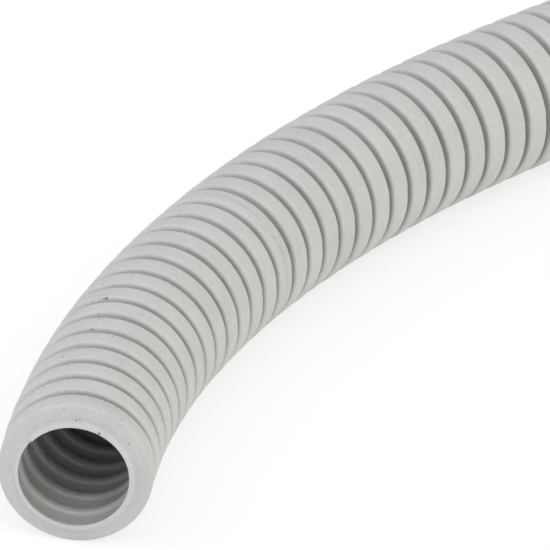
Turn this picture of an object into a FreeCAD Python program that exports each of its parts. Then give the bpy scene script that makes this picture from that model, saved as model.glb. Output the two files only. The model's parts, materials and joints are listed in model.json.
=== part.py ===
"""Corrugated plastic conduit, size 25: one metre cut from a coil, lying on the floor.

Frame: +Z up, millimetres. The origin lies on the floor under the middle of the conduit's box. The near
mouth looks along -Y. The conduit leaves it along +Y, curls towards +X and comes back to a far mouth
that looks along -Y as well.

The real thing is one extruded wall, drawn by moulds into stiff rings with a narrow groove between
each two. The rings stay round and straight, and the conduit bends only in its grooves, which open on
the outside of the bend and close on its inside.
"""
import FreeCAD, Part
import math
import os
from FreeCAD import Vector

# Section
outer_diameter = 25.0  # over the crests
wave_depth = 2.65  # from the crests down to the groove floors
wall = 0.7  # the same everywhere, which leaves a bore of 18.3

# Waves
pitch = 5.18  # from one crest to the next
groove_mouth = 1.4  # between two crests
groove_floor = 0.55  # the flat at the bottom of a groove, along the conduit's axis

# Where one mould block ended and the next began
joint_ring = 14  # rings from the near mouth to this one
joint_gap = 0.4  # how much longer than the others the blocks left it

# Length and lie
stock_length = 1000.0  # conduit is sold by the metre
mouth_bend_radius = 170.0  # the free end keeps the tight curl of the coil
relaxed_after = 171.0  # the curl has eased by here, and stays even from here on
total_turn = 180.0  # degrees between the two mouths

ALONG = Vector(1, 0, 0)  # a ring is drawn about this axis and then put in its place

crest_radius = outer_diameter / 2
floor_radius = crest_radius - wave_depth
bore_radius = floor_radius - wall
ring_count = round(stock_length / pitch)
flank_run = (groove_mouth - groove_floor) / 2


def direction(heading):
    """Unit vector of a heading in the floor's plane, in radians from +Y towards +X."""
    return Vector(math.sin(heading), math.cos(heading), 0)


def ring_lengths():
    """Length of each ring from its first foot to its last."""
    lengths = [pitch - groove_floor] * ring_count
    lengths[joint_ring] += joint_gap
    return lengths


def ring_headings():
    """Heading of each ring's axis.

    The curl falls evenly from the mouth's to the even one, which follows from the total turn.
    """
    grooves = [pitch * i for i in range(1, ring_count)]
    share = [max(0.0, 1 - s / relaxed_after) for s in grooves]
    mouth_curl = pitch / mouth_bend_radius
    even_curl = (math.radians(total_turn) - mouth_curl * sum(share)) / (len(share) - sum(share))
    headings = [0.0]
    for part in share:
        headings.append(headings[-1] + even_curl + (mouth_curl - even_curl) * part)
    return headings


def rings():
    """Each ring as the centre of its first edge, its heading and its length.

    A groove is crossed along the mean of its rings' headings.
    """
    headings = ring_headings()
    lengths = ring_lengths()
    start = Vector(0, groove_floor / 2, crest_radius)
    placed_rings = [(start, headings[0], lengths[0])]
    for i in range(1, ring_count):
        across = direction((headings[i - 1] + headings[i]) / 2)
        start = start + direction(headings[i - 1]) * lengths[i - 1] + across * groove_floor
        placed_rings.append((start, headings[i], lengths[i]))
    return placed_rings


def placed(shape, start, heading):
    """A ring's faces, drawn along +X from the origin, put in their place."""
    copy = shape.copy()
    copy.Placement = FreeCAD.Placement(start, FreeCAD.Rotation(ALONG, direction(heading)))
    return copy


def skin_of_ring(foot_radius, top_radius, foot, length):
    """One skin of a ring: up a flank, along the crest and down the other flank."""
    profile = [
        (foot, foot_radius),
        (foot + flank_run, top_radius),
        (length - foot - flank_run, top_radius),
        (length - foot, foot_radius),
    ]
    line = Part.makePolygon([Vector(x, 0, radius) for x, radius in profile])
    return line.revolve(Vector(0, 0, 0), ALONG, 360)


def rim(radius, centre, heading):
    """Circle square to a heading, its seam at the top like a ring's."""
    circle = Part.Vertex(0, 0, radius).revolve(Vector(0, 0, 0), ALONG, 360)
    return placed(circle, centre, heading)


def floor_of_groove(here, ahead, radius, foot):
    """One skin of a groove's floor, stretched straight from one ring's foot to the next ring's."""
    start, heading, length = here
    next_start, next_heading, _ = ahead
    near = rim(radius, start + direction(heading) * (length - foot), heading)
    far = rim(radius, next_start + direction(next_heading) * foot, next_heading)
    return Part.makeRuledSurface(near, far)


def cut_end(centre, heading, inwards):
    """A mouth, cut square through the middle of a groove: the ring of its cut and half a floor."""
    axis = direction(heading) * inwards
    outside = rim(floor_radius, centre, heading)
    inside = rim(bore_radius, centre, heading)
    cut = Part.Face([Part.Wire(outside), Part.Wire(inside).reversed()])
    half_floor = axis * (groove_floor / 2)
    return [cut, outside.extrude(half_floor), inside.extrude(half_floor + axis * wall)]


def conduit():
    """The whole wall, sewn from its rings, groove floors and two cut ends."""
    row = rings()
    skins = [(floor_radius, crest_radius, 0.0), (bore_radius, crest_radius - wall, wall)]
    faces = []
    for foot_radius, top_radius, foot in skins:
        for start, heading, length in row:
            ring = skin_of_ring(foot_radius, top_radius, foot, length)
            faces += placed(ring, start, heading).Faces
        for here, ahead in zip(row, row[1:]):
            faces += floor_of_groove(here, ahead, foot_radius, foot).Faces
    near_cut = Vector(0, 0, crest_radius)
    start, heading, length = row[-1]
    far_cut = start + direction(heading) * (length + groove_floor / 2)
    for piece in cut_end(near_cut, row[0][1], 1) + cut_end(far_cut, heading, -1):
        faces += piece.Faces
    skin = Part.Compound(faces)
    skin.sewShape(1e-4)
    solid = Part.Solid(skin.Shells[0])
    if solid.Volume < 0:
        solid.reverse()
    return solid


def centred(solid):
    """The conduit moved so that the origin lies on the floor under the middle of its box."""
    box = solid.optimalBoundingBox()
    return solid.translated(Vector(-(box.XMin + box.XMax) / 2, -(box.YMin + box.YMax) / 2, 0))


os.makedirs("parts", exist_ok=True)
centred(conduit()).exportStep("parts/conduit.step")
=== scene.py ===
"""A light grey corrugated conduit, one metre of it, lying curled on a white studio floor.

The conduit is one extruded wall. It is drawn here as its mouth end and four stretches, which meet in the
middle of a groove, so that the end nearest the camera can be the finest. Lengths are in metres.
"""

import json
import math

import bpy
import numpy as np
from mathutils import Matrix, Vector


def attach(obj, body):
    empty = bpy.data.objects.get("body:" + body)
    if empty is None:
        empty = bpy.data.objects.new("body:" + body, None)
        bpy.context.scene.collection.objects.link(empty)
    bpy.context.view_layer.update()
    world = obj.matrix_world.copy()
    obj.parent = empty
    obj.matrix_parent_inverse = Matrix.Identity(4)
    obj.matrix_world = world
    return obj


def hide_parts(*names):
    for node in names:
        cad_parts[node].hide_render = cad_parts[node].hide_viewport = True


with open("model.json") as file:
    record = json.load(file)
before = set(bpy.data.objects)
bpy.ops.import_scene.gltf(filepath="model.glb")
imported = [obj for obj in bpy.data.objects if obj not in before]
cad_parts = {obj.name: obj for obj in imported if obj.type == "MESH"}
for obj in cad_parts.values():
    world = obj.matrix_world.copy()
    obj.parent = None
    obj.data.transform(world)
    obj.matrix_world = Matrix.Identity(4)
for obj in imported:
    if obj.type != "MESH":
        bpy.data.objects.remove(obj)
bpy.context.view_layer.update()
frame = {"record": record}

# The mouth end.
# The first dozen rings, with the cut that freed this length from its coil. The wall is one extrusion
# of light grey plastic, blown into ring moulds while hot, and a knife has cut it in a groove.

# Its lie on the floor: the free end keeps the coil's tight curl, which eases within a hand's length
# into an even bend. Each ring is stiff and straight, and the conduit turns only in its grooves.
near_end = next(m for m in frame["record"]["mounts"] if m["name"] == "near_end")
crest_radius = near_end["dims"]["r_mm"] / 1000
crest_length = near_end["dims"]["length_mm"] / 1000
first_crest = np.array(near_end["pos_m"][:2])
axis_height = near_end["pos_m"][2]
pitch = 0.00518
groove_floor = 0.00055
stock_length = 1.0
mouth_bend_radius = 0.170
relaxed_after = 0.171
total_turn = math.pi
ring_count = round(stock_length / pitch)
ring_length = pitch - groove_floor
# Where one mould block ended and the next began, a ring came out longer.
joint_ring = 14
joint_gap = 0.0004
ring_lengths = np.full(ring_count, ring_length)
ring_lengths[joint_ring] += joint_gap
ring_ways = np.cumsum(ring_lengths + groove_floor) - ring_lengths - groove_floor / 2


def ring_headings():
    """Heading of each ring from +Y towards +X: the running sum of each groove's turn.

    A groove's turn falls evenly from the mouth's to the even bend's, and stays there.
    """
    grooves = pitch * np.arange(1, ring_count)
    share = np.clip(1 - grooves / relaxed_after, 0, None)
    mouth_turn = pitch / mouth_bend_radius
    even_turn = (total_turn - mouth_turn * share.sum()) / (len(share) - share.sum())
    return np.concatenate([[0.0], np.cumsum(even_turn + (mouth_turn - even_turn) * share)])


def ring_starts(headings):
    """Where each ring starts: the running sum of a ring's length along its own heading and of a
    groove floor along the mean of two headings."""
    across = (headings[1:] + headings[:-1]) / 2
    along = np.stack([np.sin(headings[:-1]), np.cos(headings[:-1])], 1) * ring_lengths[:-1, None]
    over = np.stack([np.sin(across), np.cos(across)], 1) * groove_floor
    first = first_crest - [0, ring_length / 2]
    return first + np.concatenate([[[0.0, 0.0]], np.cumsum(along + over, 0)])


headings = ring_headings()
starts = ring_starts(headings)

# No two rings left the moulds quite alike: each sits a hair off its place, leans a little, and is
# slightly small and out of round. Its two halves, from the two halves of the mould, missed each other a
# little along the conduit, which shows as a jog in its edges at the parting.
rings_drawn = np.random.default_rng(25)
ring_shift = rings_drawn.uniform(-0.00005, 0.00005, ring_count)
ring_lean = rings_drawn.normal(0, 0.0035, ring_count)
ring_shrink = rings_drawn.uniform(0.00001, 0.00004, ring_count)
ring_lobes = rings_drawn.integers(2, 5, ring_count)
ring_lobe_depth = rings_drawn.uniform(0, 0.00005, ring_count)
ring_lobe_start = rings_drawn.uniform(0, 2 * math.pi, ring_count)
ring_tone = rings_drawn.uniform(0, 1, ring_count)
half_shift = rings_drawn.uniform(0.00006, 0.00016, ring_count)
parting_angle = math.radians(12)
parting_width = 0.012  # of the jog, as a share of the radius

# The wall's wave: broad, nearly flat crests with round shoulders, and deep, narrow grooves with steep
# flanks. The inside repeats the outside, one wall further in, so its lands are broad and round.
wall = 0.0007
wave_depth = 0.00265
flank_run = (pitch - crest_length - groove_floor) / 2
shoulder_radius = 0.00075
foot_radius = 0.00025
land_radius = 0.00085
cavity_radius = 0.00035
crown = 0.00003  # how far a crest's middle stands above its shoulders


def fillet(before, corner, after, radius, count):
    """Points of the arc that rounds a corner: centre + radius * (cos t, sin t), tangent to both legs,
    with t running from one touching point to the other."""
    before, corner, after = (np.array(p, float) for p in (before, corner, after))
    leg_in = (before - corner) / np.linalg.norm(before - corner)
    leg_out = (after - corner) / np.linalg.norm(after - corner)
    half = math.acos(np.clip(leg_in @ leg_out, -1, 1)) / 2
    centre = corner + (leg_in + leg_out) / np.linalg.norm(leg_in + leg_out) * radius / math.sin(half)
    first = corner + leg_in * radius / math.tan(half) - centre
    last = corner + leg_out * radius / math.tan(half) - centre
    start = math.atan2(first[1], first[0])
    sweep = (math.atan2(last[1], last[0]) - start + math.pi) % (2 * math.pi) - math.pi
    t = start + sweep * np.linspace(0, 1, count)
    return centre + radius * np.stack([np.cos(t), np.sin(t)], 1)


def wave(foot_points, corner_points, crest_points, inset):
    """One ring's profile as (along, radius), from the end of one groove floor to the start of the next.

    It runs up a flank, over a crest r = R - crown * (2 x / crest length)^2 and down the other flank,
    with both corners of each flank rounded. The inner skin is the same line moved in by the wall.
    """
    low = crest_radius - wave_depth - inset
    high = crest_radius - inset
    foot = [inset, low]
    shoulder = [inset + flank_run, high]
    middle = [ring_length / 2, high]
    foot_arc = fillet([inset - groove_floor, low], foot, shoulder,
                      land_radius if inset else foot_radius, foot_points)
    top_arc = fillet(foot, shoulder, middle, cavity_radius if inset else shoulder_radius, corner_points)
    flat = np.stack([np.linspace(top_arc[-1, 0], ring_length / 2, crest_points)[1:],
                     np.full(crest_points - 1, high)], 1)
    half = np.concatenate([foot_arc, top_arc, flat])
    to_shoulder = 1 - (half[:, 0] - inset - flank_run) / (ring_length / 2 - inset - flank_run)
    half[:, 1] -= crown * np.clip(to_shoulder, 0, 1) ** 2 * (half[:, 1] - low) / wave_depth
    back = half[::-1][1:] * [-1, 1] + [ring_length, 0]
    return np.concatenate([half, back])


def jog(angles):
    """-1/2 on one side of the mould's parting and 1/2 on the other: s / (2 sqrt(s^2 + width^2)), where
    s is the sine of the angle from the parting."""
    sine = np.sin(angles - parting_angle)
    return sine / np.sqrt(sine ** 2 + parting_width ** 2) / 2


def around(ring, along, radius, angles, inside=0.0, cut=0.0):
    """Grid of points (start + heading * along) + radius * (side cos a + up sin a) of one ring or many.

    After its three coordinates, each point holds its way along the conduit, its depth below the crests
    from 0 to 1, whether it is inside, whether a knife cut it, its ring's tone, and its share of the way
    across the ring.
    """
    share = along / ring_length
    heading = headings[ring] + ring_lean[ring]
    lobe = ring_lobe_depth[ring] * (1 + np.cos(ring_lobes[ring] * angles + ring_lobe_start[ring])) / 2
    along = along + (ring_lengths[ring] - ring_length) * (along > ring_length / 2)
    way = ring_ways[ring] + along + 0 * angles
    true_radius = radius - ring_shrink[ring] - lobe
    reach = along + ring_shift[ring] + half_shift[ring] * jog(angles)
    side = true_radius * np.cos(angles)
    x = starts[ring, 0] + np.sin(heading) * reach + np.cos(heading) * side
    y = starts[ring, 1] + np.cos(heading) * reach - np.sin(heading) * side
    z = axis_height + true_radius * np.sin(angles)
    depth = np.clip((crest_radius - wall * inside - radius) / wave_depth, 0, 1)
    channels = [x, y, z, way, depth, inside, cut, ring_tone[ring], share]
    return np.stack([np.broadcast_to(channel, x.shape) for channel in channels], -1)


def skin(first, last, profile, angles, inside):
    """The rings from first to last - 1, row by row."""
    ring = np.arange(first, last)[:, None, None]
    rows = around(ring, profile[None, :, :1], profile[None, :, 1:], angles[None, None], inside)
    return rows.reshape(-1, len(angles), rows.shape[-1])


def groove_middle(ring, radius, angles, inside):
    """The circle in the middle of the groove before a ring, square to the mean of the two headings."""
    heading = (headings[ring] + headings[ring - 1]) / 2
    side = radius * np.cos(angles)
    x = starts[ring, 0] - math.sin(heading) * groove_floor / 2 + math.cos(heading) * side
    y = starts[ring, 1] - math.cos(heading) * groove_floor / 2 - math.sin(heading) * side
    z = axis_height + radius * np.sin(angles)
    way = ring_ways[ring] - groove_floor / 2
    channels = [x, y, z, way, 1.0, inside, 0.0, (ring_tone[ring] + ring_tone[ring - 1]) / 2, 0.5]
    return np.stack([np.broadcast_to(channel, x.shape) for channel in channels], -1)[None]


# The cut: the knife came round and missed its own start, which left a step. The length of groove floor
# that it left grows from the shortest to the longest around the mouth, and a thin burr stands at the bore.
near_cut = (142, 0.00024, 0.00095)  # angle of the step in degrees, shortest and longest length left
far_cut = (40, 0.00010, 0.00016)
burr_height = 0.00005
burr_width = 0.00008
cut_edge = 0.00006  # the bevel of its outer edge
bore_dent = 0.00028  # the knife pressed the right side of the bore's edge in by this much


def cut_face(ring, far, cut_at, angles):
    """The cut wall in rows from its outer edge to the bore.

    Way left before the cut: short + (long - short) * (1 - turn since the step / 2 pi) ^ 0.7. The burr's
    height swells and fades as 1 + 0.5 sin(3 a) sin(7 a + 1).
    """
    step_angle, shortest_left, longest_left = cut_at
    turn = ((math.radians(step_angle) - angles) % (2 * math.pi)) / (2 * math.pi)
    left = shortest_left + (longest_left - shortest_left) * (1 - turn) ** 0.7
    burr = burr_height * (1 + 0.5 * np.sin(3 * angles) * np.sin(7 * angles + 1))
    outer = crest_radius - wave_depth
    bore = outer - wall - bore_dent * (1 + np.cos(angles)) / 2
    rows = [
        (left - cut_edge, outer, 0.0, 0.0),
        (left, outer - cut_edge, 0.0, 1.0),
        (left, bore + 2.5 * burr_width, 0.0, 1.0),
        (left + burr, bore + burr_width, 0.0, 1.0),
        (left + burr / 2, bore, 1.0, 1.0),
        (left - cut_edge, bore, 1.0, 0.0),
    ]
    made = []
    for reach, radius, inside, cut in rows:
        along = ring_length + reach if far else -reach
        made.append(around(ring, along, radius, angles, inside, cut))
    return np.stack(made)


sharp_edge = math.radians(60)  # edges that turn by more are shaded sharp


def closed_tube(name, loop, angles):
    """A mesh that closes both ways: each row around the conduit, and the rows from the outer skin
    through one end and back along the inner skin to the other."""
    rows, columns, _ = loop.shape
    row = np.arange(rows)[:, None]
    column = np.arange(columns)[None]
    below = (row + 1) % rows * columns
    here, ahead = row * columns, (column + 1) % columns
    faces = np.stack([here + column, below + column, below + ahead, here + ahead], -1).reshape(-1, 4)
    mesh = bpy.data.meshes.new(name)
    mesh.vertices.add(rows * columns)
    mesh.vertices.foreach_set("co", loop[..., :3].astype(np.float32).ravel())
    mesh.loops.add(faces.size)
    mesh.loops.foreach_set("vertex_index", faces.ravel().astype(np.int32))
    mesh.polygons.add(len(faces))
    mesh.polygons.foreach_set("loop_start", np.arange(0, faces.size, 4, dtype=np.int32))
    mesh.polygons.foreach_set("loop_total", np.full(len(faces), 4, dtype=np.int32))
    mesh.update(calc_edges=True)
    mesh.shade_smooth()
    mesh.set_sharp_from_angle(angle=sharp_edge)
    turned = np.broadcast_to(angles, (rows, columns))
    lie = np.stack([np.cos(turned), np.sin(turned), loop[..., 3]], -1)
    lies = mesh.attributes.new("lie", "FLOAT_VECTOR", "POINT").data
    lies.foreach_set("vector", lie.astype(np.float32).ravel())
    for channel, label in enumerate(("depth", "inside", "cut", "tone", "share"), 4):
        values = mesh.attributes.new(label, "FLOAT", "POINT").data
        values.foreach_set("value", loop[..., channel].astype(np.float32).ravel())
    piece = bpy.data.objects.new(name, mesh)
    bpy.context.scene.collection.objects.link(piece)
    return piece


def stretch(name, first, last, around_count, outer_counts, inner_counts, cuts=(None, None)):
    """Rings first to last - 1 as one piece. An end that has a cut given is a mouth.

    The points around it are even, with a few more on both sides of the mould's two parting lines. The
    counts of a skin are its points on a foot's arc, on a corner's arc and on half a crest.
    """
    even = np.linspace(0, 2 * math.pi, around_count, endpoint=False)
    close = np.array([-2.5, -1, 0, 1, 2.5]) * parting_width
    angles = np.concatenate([even, close, close + math.pi]) + parting_angle
    angles = np.unique(np.round(angles % (2 * math.pi), 5))
    outer = skin(first, last, wave(*outer_counts, 0.0), angles, 0.0)
    inner = skin(first, last, wave(*inner_counts, wall), angles, 1.0)
    low = crest_radius - wave_depth
    ends = []
    for ring, far, cut_at in ((first, False, cuts[0]), (last, True, cuts[1])):
        if cut_at is None:
            ends.append(np.concatenate([groove_middle(ring, low, angles, 0.0),
                                        groove_middle(ring, low - wall, angles, 1.0)]))
        else:
            ends.append(cut_face(ring - far, far, cut_at, angles))
    return closed_tube(name, np.concatenate([outer, ends[1], inner[::-1], ends[0][::-1]]), angles)


mouth_end = stretch("conduit_mouth_end", 0, 12, 128, (4, 6, 4), (9, 4, 2), (near_cut, None))


# Its plastic is light grey and satin, with the marks of its making and of some handling: faint rings
# from the moulds, a mottle, dust and painted shade down in the grooves, paler rubbed shoulders and paler
# cut plastic.
# A noise's scale is per metre, so 1000 makes a pattern of about a millimetre.
def put(tree, socket, value):
    """Links a socket to the socket given, or sets its own value."""
    if isinstance(value, bpy.types.NodeSocket):
        tree.links.new(value, socket)
    else:
        socket.default_value = value


def calculate(tree, operation, first, second=0.0, third=0.0):
    """The output of one Math node."""
    step = tree.nodes.new("ShaderNodeMath")
    step.operation = operation
    for socket, value in zip(step.inputs, (first, second, third)):
        put(tree, socket, value)
    return step.outputs[0]


def product(tree, first, *others):
    """The values multiplied together."""
    for other in others:
        first = calculate(tree, "MULTIPLY", first, other)
    return first


def total(tree, first, *others):
    """The values added up."""
    for other in others:
        first = calculate(tree, "ADD", first, other)
    return first


def vectors(tree, operation, first, second):
    """One Vector Math node's outputs."""
    step = tree.nodes.new("ShaderNodeVectorMath")
    step.operation = operation
    put(tree, step.inputs[0], first)
    put(tree, step.inputs["Scale"] if operation == "SCALE" else step.inputs[1], second)
    return step.outputs


def between(tree, value, low, high, to_low=0.0, to_high=1.0):
    """A value eased from one pair of limits to another, smooth at both."""
    step = tree.nodes.new("ShaderNodeMapRange")
    step.interpolation_type = "SMOOTHSTEP"
    for label, given in (("Value", value), ("From Min", low), ("From Max", high),
                         ("To Min", to_low), ("To Max", to_high)):
        put(tree, step.inputs[label], given)
    return step.outputs["Result"]


def noise(tree, place, scale, detail=2.0, roughness=0.5):
    """A noise texture's value at a place."""
    step = tree.nodes.new("ShaderNodeTexNoise")
    put(tree, step.inputs["Vector"], place)
    put(tree, step.inputs["Scale"], scale)
    put(tree, step.inputs["Detail"], detail)
    put(tree, step.inputs["Roughness"], roughness)
    return step.outputs["Fac"]


def ring_noise(tree, lie, scale_around, scale_along, detail=2.0, roughness=0.5):
    """A noise drawn out around the rings: it varies faster along the conduit than around it."""
    scales = (scale_around, scale_around, scale_along)
    return noise(tree, vectors(tree, "MULTIPLY", lie, scales)["Vector"], 1.0, detail, roughness)


def tinted(tree, colour, tint, share):
    """A colour mixed towards a tint by a share."""
    step = tree.nodes.new("ShaderNodeMix")
    step.data_type = "RGBA"
    put(tree, step.inputs["Factor"], share)
    put(tree, step.inputs["A"], colour)
    put(tree, step.inputs["B"], tint)
    return step.outputs["Result"]


def effect(name, inputs, outputs):
    """An empty node group with the sockets given, and the sockets of the two nodes that are its ends."""
    group = bpy.data.node_groups.new(name, "ShaderNodeTree")
    for label, kind in inputs:
        group.interface.new_socket(name=label, in_out="INPUT", socket_type="NodeSocket" + kind)
    for label, kind in outputs:
        group.interface.new_socket(name=label, in_out="OUTPUT", socket_type="NodeSocket" + kind)
    return group, group.nodes.new("NodeGroupInput").outputs, group.nodes.new("NodeGroupOutput").inputs


def placed(tree, group, **values):
    """A node group put into a material, with its inputs set."""
    step = tree.nodes.new("ShaderNodeGroup")
    step.node_tree = group
    for label, value in values.items():
        put(tree, step.inputs[label], value)
    return step.outputs


# Mould lines: faint scratches that run round the rings, some rings with more of them than others.
mould_lines, given, out = effect("mould_lines", [("Lie", "Vector")], [("Lines", "Float")])
fine = ring_noise(mould_lines, given["Lie"], 1.2, 5200.0, 3.0, 0.7)
patches = ring_noise(mould_lines, given["Lie"], 0.9, 170.0)
shown = between(mould_lines, patches, 0.42, 0.66, 0.25, 1.0)
put(mould_lines, out["Lines"], product(mould_lines, calculate(mould_lines, "SUBTRACT", fine, 0.5), shown))

# Mottle: the slow unevenness of the pigment, and a fine grain.
mottle, given, out = effect("mottle", [("Place", "Vector")], [("Slow", "Float"), ("Grain", "Float")])
pigment = noise(mottle, given["Place"], 130.0, 3.0)
put(mottle, out["Slow"], calculate(mottle, "SUBTRACT", pigment, 0.5))
coarse_grain = product(mottle, noise(mottle, given["Place"], 1300.0, 2.0, 0.6), 0.6)
fine_grain = product(mottle, noise(mottle, given["Place"], 4200.0, 2.0, 0.6), 0.9)
mean_grain = 0.75
grain = calculate(mottle, "SUBTRACT", total(mottle, coarse_grain, fine_grain), mean_grain)
put(mottle, out["Grain"], grain)

# Joint lines: the fine lines that the joint of two mould blocks left around one ring, as (way, strength).
joint_way = ring_ways[joint_ring] + ring_length / 2
lines_at_joint = [(joint_way, 1.0), (joint_way + joint_gap, 1.0), (joint_way + 0.0011, 0.5)]
joint_core, joint_edge = 0.00004, 0.00015  # half widths of a line's full strength and of its fading edge
joint_lines, given, out = effect("joint_lines", [("Lie", "Vector")], [("Lines", "Float")])
lie_parts = joint_lines.nodes.new("ShaderNodeSeparateXYZ")
put(joint_lines, lie_parts.inputs[0], given["Lie"])
drawn = 0.0
for line_way, line_strength in lines_at_joint:
    off = calculate(joint_lines, "SUBTRACT", lie_parts.outputs["Z"], line_way)
    line = between(joint_lines, calculate(joint_lines, "ABSOLUTE", off), joint_core, joint_edge,
                   line_strength, 0.0)
    drawn = calculate(joint_lines, "MAXIMUM", drawn, line)
broken = between(joint_lines, ring_noise(joint_lines, given["Lie"], 3.0, 900.0), 0.35, 0.6, 0.5, 1.0)
put(joint_lines, out["Lines"], product(joint_lines, drawn, broken))

# Groove dust and painted shade: darkest at the groove floors, where the shade falls, and patchy.
groove_dust, given, out = effect("groove_dust", [("Place", "Vector"), ("Depth", "Float"),
                                                 ("Amount", "Float")], [("Dust and shade", "Float")])
# Painted shade along with the dust: the deeper in a groove, the darker.
deep = between(groove_dust, given["Depth"], 0.03, 0.30)
patchy = between(groove_dust, noise(groove_dust, given["Place"], 260.0, 3.0), 0.3, 0.7, 0.75, 1.0)
put(groove_dust, out["Dust and shade"], product(groove_dust, deep, patchy, given["Amount"]))

# Rubbed shoulders: paler where a ring's edge stands proud.
rubbed_shoulders, given, out = effect("rubbed_shoulders", [("Place", "Vector"), ("Depth", "Float")],
                                      [("Rub", "Float")])
rising = between(rubbed_shoulders, given["Depth"], 0.004, 0.03)
falling = between(rubbed_shoulders, given["Depth"], 0.03, 0.12, 1.0, 0.0)
worn = between(rubbed_shoulders, noise(rubbed_shoulders, given["Place"], 420.0, 3.0), 0.45, 0.7)
put(rubbed_shoulders, out["Rub"], product(rubbed_shoulders, rising, falling, worn))

# Scuffs: patches of fine dark specks and dashes on the rings' far shoulders, and streaks round the rings.
scuffs, given, out = effect("scuffs", [("Place", "Vector"), ("Lie", "Vector"), ("Share", "Float")],
                            [("Specks", "Float"), ("Scratches", "Float")])
past_middle = between(scuffs, given["Share"], 0.40, 0.80)
before_foot = between(scuffs, given["Share"], 0.90, 0.97, 1.0, 0.0)
scuffed = between(scuffs, noise(scuffs, given["Place"], 85.0), 0.48, 0.60)
gritty = between(scuffs, noise(scuffs, given["Place"], 2300.0, 3.0, 0.65), 0.53, 0.62)
dashed = between(scuffs, ring_noise(scuffs, given["Lie"], 22.0, 6000.0), 0.56, 0.66)
put(scuffs, out["Specks"], product(scuffs, past_middle, before_foot, scuffed,
                                   calculate(scuffs, "MAXIMUM", gritty, dashed)))
streaks = between(scuffs, ring_noise(scuffs, given["Lie"], 9.0, 6500.0), 0.60, 0.72)
scratched = between(scuffs, noise(scuffs, given["Place"], 60.0), 0.50, 0.62)
put(scuffs, out["Scratches"], product(scuffs, streaks, scratched))

# A mark: a speck or a short scratch between two points, thick at the first and thin at the second, with
# a ragged edge.
mark, given, out = effect("mark", [("Place", "Vector"), ("From", "Vector"), ("To", "Vector"),
                                   ("Radius", "Float")], [("Mark", "Float")])
thinned = 0.75  # how much thinner a mark is at its second point
leg = vectors(mark, "SUBTRACT", given["To"], given["From"])["Vector"]
way_in = vectors(mark, "SUBTRACT", given["Place"], given["From"])["Vector"]
share = calculate(mark, "DIVIDE", vectors(mark, "DOT_PRODUCT", way_in, leg)["Value"],
                  vectors(mark, "DOT_PRODUCT", leg, leg)["Value"])
share = calculate(mark, "MINIMUM", calculate(mark, "MAXIMUM", share, 0.0), 1.0)
nearest = vectors(mark, "SCALE", leg, share)["Vector"]
apart = vectors(mark, "DISTANCE", way_in, nearest)["Value"]
ragged = product(mark, calculate(mark, "SUBTRACT", noise(mark, given["Place"], 5200.0), 0.5), 2.0)
tapered = product(mark, given["Radius"], calculate(mark, "MULTIPLY_ADD", share, -thinned, 1.0))
relative = total(mark, calculate(mark, "DIVIDE", apart, tapered), ragged)
put(mark, out["Mark"], between(mark, relative, 0.45, 1.25, 1.0, 0.0))


def on_skin(way, angle, radius):
    """The point at a way along the conduit, an angle and a radius, as around() places it."""
    ring = max(int(np.searchsorted(ring_ways, way)) - 1, 0)
    along = way - ring_ways[ring]
    if along > ring_length / 2:
        along = max(along - (ring_lengths[ring] - ring_length), ring_length / 2)
    return tuple(around(ring, along, radius, np.array([math.radians(angle)]))[0, :3])


# Dark flecks of stray pigment and dirt near the mouth, as (way, angle, radius, length round, half width,
# strength). A length below zero thins towards the left.
flecks = [
    (-0.0006, 66, 0.00925, 0.0003, 0.00026, 0.95),
    (0.0002, 91, 0.00992, 0.0002, 0.00018, 0.85),
    (0.0003, 88, 0.01010, 0.0002, 0.00012, 0.55),
    (0.0004, 37, 0.01060, 0.0004, 0.00017, 0.65),
    (0.0006, 101, 0.01178, 0.0008, 0.00010, 0.35),
    (0.0011, 57, 0.01242, 0.0002, 0.00014, 0.80),
    (0.0064, 82, 0.01246, 0.0004, 0.00013, 0.45),
    (0.0126, 65, 0.01249, 0.0002, 0.00012, 0.35),
    (0.0163, 85, 0.01226, 0.0003, 0.00012, 0.40),
    (0.0171, 110, 0.01248, 0.0002, 0.00012, 0.30),
    (0.0172, 70, 0.01248, 0.0004, 0.00014, 0.45),
    (0.0174, 117, 0.01248, -0.0004, 0.00022, 0.80),
    (0.0266, 104, 0.01211, 0.0006, 0.00016, 0.80),
    (0.0266, 58, 0.01212, 0.0002, 0.00016, 0.60),
    (0.0282, 59, 0.01248, 0.0002, 0.00012, 0.40),
    (0.0318, 106, 0.01211, 0.0002, 0.00018, 0.70),
    (0.0320, 96, 0.01231, 0.0002, 0.00015, 0.50),
    (0.0324, 84, 0.01246, 0.0002, 0.00012, 0.30),
    (0.0334, 74, 0.01249, 0.0003, 0.00013, 0.45),
    (0.0340, 110, 0.01249, 0.0002, 0.00012, 0.35),
    (0.0371, 110, 0.01216, -0.0009, 0.00026, 1.00),
    (0.0426, 120, 0.01245, 0.0003, 0.00018, 0.60),
]
# The plastic's colours: plain, where the pigment is thicker, under dust and painted groove shade, rubbed,
# freshly cut, at the joint of the mould blocks, and the flecks.
light_grey = (0.585, 0.592, 0.565, 1)
deeper_grey = (0.505, 0.515, 0.495, 1)
# This grey darkens the specks and scratches as dirt, and the grooves as dust with painted shade.
dust_grey = (0.255, 0.265, 0.235, 1)
rubbed_grey = (0.66, 0.665, 0.645, 1)
fresh_grey = (0.69, 0.69, 0.665, 1)
joint_grey = (0.44, 0.45, 0.43, 1)
fleck_colour = (0.075, 0.068, 0.062, 1)
# Ways along the conduit over which its finish changes, in metres from the mouth's cut.
open_face = (0.0016, 0.0030)  # before it, the mouth's face is open, and has no dust or painted groove shade
handled_end = (0.035, 0.055)  # past it, the scuffs thin out
curled_end = (0.10, 0.15)  # past it, the grooves carry dust and painted shade on the outside of the bend too


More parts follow.
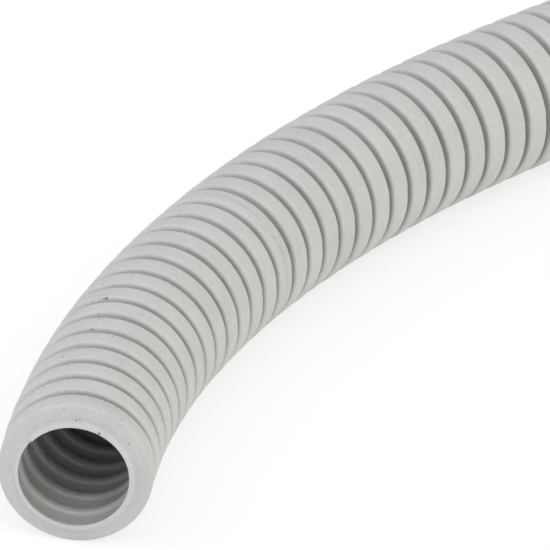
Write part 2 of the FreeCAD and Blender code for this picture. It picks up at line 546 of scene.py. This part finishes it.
def surface_of(tree):
    """What the surface carries at each point, by name: its attributes, its place and its effects' masks."""
    seen = {"place": tree.nodes.new("ShaderNodeTexCoord").outputs["Object"]}
    for label in ("lie", "depth", "inside", "cut", "tone", "share"):
        attribute = tree.nodes.new("ShaderNodeAttribute")
        attribute.attribute_name = label
        seen[label] = attribute.outputs["Vector" if label == "lie" else "Fac"]
    lie_parts = tree.nodes.new("ShaderNodeSeparateXYZ")
    put(tree, lie_parts.inputs[0], seen["lie"])
    side, way = lie_parts.outputs["X"], lie_parts.outputs["Z"]
    outside = calculate(tree, "SUBTRACT", 1.0, seen["inside"])
    open_skin = product(tree, outside, between(tree, seen["depth"], 0.05, 0.25, 1.0, 0.0))
    # The grooves' dust and painted shade are stronger on the inside of the bend, and all round past the
    # curl.
    inside_of_bend = between(tree, side, -0.8, 0.9, 0.06, 1.0)
    darkened_side = calculate(tree, "MAXIMUM", inside_of_bend, between(tree, way, *curled_end, 0.0, 0.4))
    seen["uneven"] = placed(tree, mottle, Place=seen["place"])
    seen["lines"] = placed(tree, mould_lines, Lie=seen["lie"])["Lines"]
    seen["joint"] = placed(tree, joint_lines, Lie=seen["lie"])["Lines"]
    seen["dust"] = placed(tree, groove_dust, Place=seen["place"], Depth=seen["depth"],
                          Amount=product(tree, outside, between(tree, way, *open_face), darkened_side))["Dust and shade"]
    seen["rub"] = placed(tree, rubbed_shoulders, Place=seen["place"], Depth=seen["depth"])["Rub"]
    worn_marks = placed(tree, scuffs, Place=seen["place"], Lie=seen["lie"], Share=seen["share"])
    seen["specks"] = product(tree, worn_marks["Specks"], open_skin,
                             between(tree, way, *handled_end, 0.70, 0.12))
    seen["scratches"] = product(tree, worn_marks["Scratches"], open_skin)
    return seen


def fleck_mask(tree, place):
    """The strongest of the flecks at a place."""
    mask = 0.0
    for way, angle, radius, length, half_width, strength in flecks:
        spread = math.degrees(length / radius) / 2
        spot = placed(tree, mark, Place=place, From=on_skin(way, angle + spread, radius),
                      To=on_skin(way, angle - spread, radius), Radius=half_width)["Mark"]
        mask = calculate(tree, "MAXIMUM", mask, product(tree, spot, strength))
    return mask


def plastic(name, with_flecks):
    """The conduit's plastic as a material, with or without the flecks of its mouth end.

    Each layer tints the colour below it by its mask times its share.
    """
    material = bpy.data.materials.new(name)
    material.use_nodes = True
    tree = material.node_tree
    shader = tree.nodes["Principled BSDF"]
    seen = surface_of(tree)
    slow, grain = seen["uneven"]["Slow"], seen["uneven"]["Grain"]

    tone = total(tree, calculate(tree, "MULTIPLY_ADD", slow, 0.75, 0.22), product(tree, grain, 1.3),
                 product(tree, seen["lines"], 0.9), product(tree, seen["tone"], 0.16))
    colour = tinted(tree, light_grey, deeper_grey, between(tree, tone, 0.0, 0.8))
    layers = [
        (rubbed_grey, seen["rub"], 0.30),
        # The groove layer paints shade with the dust: darker down in the grooves.
        (dust_grey, seen["dust"], 0.70),
        (dust_grey, seen["specks"], 1.0),
        (dust_grey, seen["scratches"], 0.16),
        (fresh_grey, seen["cut"], 0.35),
        (joint_grey, seen["joint"], 0.85),
    ]
    if with_flecks:
        layers.append((fleck_colour, fleck_mask(tree, seen["place"]), 0.85))
    for tint, mask, share in layers:
        colour = tinted(tree, colour, tint, product(tree, mask, share))
    put(tree, shader.inputs["Base Color"], colour)

    roughness = total(tree, calculate(tree, "MULTIPLY_ADD", seen["inside"], -0.39, 0.54),
                      product(tree, seen["dust"], 0.20), product(tree, slow, 0.12),
                      product(tree, seen["cut"], 0.12))
    put(tree, shader.inputs["Roughness"], roughness)

    relief = total(tree, product(tree, grain, 0.5), product(tree, seen["lines"], 0.8),
                   product(tree, slow, 0.6), product(tree, seen["joint"], -2.4))
    bump = tree.nodes.new("ShaderNodeBump")
    bump.inputs["Strength"].default_value = 0.35
    bump.inputs["Distance"].default_value = 0.00008
    put(tree, bump.inputs["Height"], relief)
    put(tree, shader.inputs["Normal"], bump.outputs["Normal"])
    return material


def finished(piece, material):
    """Gives a piece its plastic, and lets it stand for the conduit's own node."""
    piece.data.materials.append(material)
    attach(piece, "root")
    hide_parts("conduit")


finished(mouth_end, plastic("grey_plastic_with_flecks", True))

# The near stretch.
# The rings that curl away from the mouth end, of the same wall and plastic. Past the mouth's own marks
# they carry only the mould's.
near_stretch = stretch("conduit_near_stretch", 12, 46, 80, (4, 5, 3), (3, 2, 2))
grey_plastic = plastic("grey_plastic", False)
finished(near_stretch, grey_plastic)

# The middle and outer stretches.
# Past the free end's curl the bend is even, and every groove opens alike on its outside. Nothing joins
# these stretches: on the real conduit the wall runs on.
middle_stretch = stretch("conduit_middle_stretch", 46, 95, 48, (3, 4, 3), (3, 2, 2))
finished(middle_stretch, grey_plastic)
outer_stretch = stretch("conduit_outer_stretch", 95, 144, 48, (3, 4, 3), (3, 2, 2))
finished(outer_stretch, grey_plastic)

# The far stretch.
# The last rings and the far mouth, of the same wall and plastic. The knife cut it as it did the near one.
far_stretch = stretch("conduit_far_stretch", 144, ring_count, 48, (3, 4, 3), (3, 2, 2), (None, far_cut))
finished(far_stretch, grey_plastic)

# The studio floor.
# A wide sheet of matt white paper, which isn't part of the object. The photo's exposure burns it out
# almost to white, so its shadow shows only faintly.
floor_reach = 4.0
burnt_out = 0.7  # the share of pure white in what the camera sees of the paper
floor_corners = [(-floor_reach, -floor_reach, 0), (floor_reach, -floor_reach, 0),
                 (floor_reach, floor_reach, 0), (-floor_reach, floor_reach, 0)]
floor_mesh = bpy.data.meshes.new("studio_floor")
floor_mesh.from_pydata(floor_corners, [], [(0, 1, 2, 3)])
floor = bpy.data.objects.new("studio_floor", floor_mesh)
bpy.context.scene.collection.objects.link(floor)
paper = bpy.data.materials.new("white_paper")
paper.use_nodes = True
paper_tree = paper.node_tree
paper_shader = paper_tree.nodes["Principled BSDF"]
paper_shader.inputs["Base Color"].default_value = (0.9, 0.9, 0.9, 1)
paper_shader.inputs["Roughness"].default_value = 0.8
paper_shader.inputs["Emission Color"].default_value = (1, 1, 1, 1)
paper_shader.inputs["Emission Strength"].default_value = 0.16
pure_white = paper_tree.nodes.new("ShaderNodeEmission")
exposed = paper_tree.nodes.new("ShaderNodeMixShader")
camera_sees = paper_tree.nodes.new("ShaderNodeLightPath").outputs["Is Camera Ray"]
put(paper_tree, exposed.inputs["Fac"], product(paper_tree, camera_sees, burnt_out))
put(paper_tree, exposed.inputs[1], paper_shader.outputs["BSDF"])
put(paper_tree, exposed.inputs[2], pure_white.outputs["Emission"])
put(paper_tree, paper_tree.nodes["Material Output"].inputs["Surface"], exposed.outputs["Shader"])
floor_mesh.materials.append(paper)

# The light: a white tent all round, four large softboxes, cooler on the left and warmer on the right, and
# a smaller one in front, whose reflection draws the thin bright lines along the lands in the bore.
tent = bpy.data.worlds.new("white_tent")
tent.use_nodes = True
tent.node_tree.nodes["Background"].inputs["Color"].default_value = (0.95, 0.96, 1.0, 1)
tent.node_tree.nodes["Background"].inputs["Strength"].default_value = 0.575
bpy.context.scene.world = tent
middle_of_view = Vector((-0.308536, -0.028085, 0.0125))
softbox_distance = 1.6


def softbox(name, bearing, height, width, power, colour):
    """A square light that looks at the middle of the view from a bearing, in degrees from +Y towards +X,
    and a height above the floor, in degrees too. Its width is in metres and its power in watts."""
    bearing, height = math.radians(bearing), math.radians(height)
    towards = Vector((math.sin(bearing) * math.cos(height), math.cos(bearing) * math.cos(height),
                      math.sin(height)))
    light = bpy.data.lights.new(name, "AREA")
    light.size = width
    light.energy = power
    light.color = colour
    lamp = bpy.data.objects.new(name, light)
    lamp.location = middle_of_view + towards * softbox_distance
    lamp.rotation_euler = towards.to_track_quat("Z", "Y").to_euler()
    bpy.context.scene.collection.objects.link(lamp)


softbox("softbox_left", -90, 35, 1.0, 4.0, (1.0, 1.0, 1.0))
softbox("softbox_front_left", -135, 55, 1.0, 5.0, (0.78, 0.80, 1.0))
softbox("softbox_front", 180, 58, 0.3, 1.8, (1.0, 1.0, 1.0))
softbox("softbox_front_right", 135, 55, 1.0, 5.2, (1.0, 0.955, 0.81))
softbox("softbox_right", 90, 35, 1.0, 3.7, (1.0, 0.93, 0.76))

# The camera: a long lens that looks down on the near mouth from the front. Its place is where the
# conduit's outlines, grooves and mouth fall as they do in the photo.
camera_azimuth = -5.343
camera_elevation = 29.153
camera_roll = 3.471
camera_distance = 2.97802
focal_length_px = 18334.0
frame_px = 550
sensor_mm = 36
camera_data = bpy.data.cameras.new("camera")
camera_data.sensor_width = sensor_mm
camera_data.lens = focal_length_px / frame_px * sensor_mm
camera_data.clip_end = 20
camera = bpy.data.objects.new("camera", camera_data)
bpy.context.scene.collection.objects.link(camera)
azimuth, elevation = math.radians(camera_azimuth), math.radians(camera_elevation)
forward = Vector((math.sin(azimuth) * math.cos(elevation), math.cos(azimuth) * math.cos(elevation),
                  -math.sin(elevation)))
right = forward.cross(Vector((0, 0, 1))).normalized()
up = right.cross(forward)
roll = math.radians(camera_roll)
right, up = right * math.cos(roll) + up * math.sin(roll), up * math.cos(roll) - right * math.sin(roll)
turn = Matrix((right, up, -forward)).transposed().to_4x4()
camera.matrix_world = Matrix.Translation(middle_of_view - forward * camera_distance) @ turn
bpy.context.scene.camera = camera
bpy.context.scene.view_settings.view_transform = "Standard"
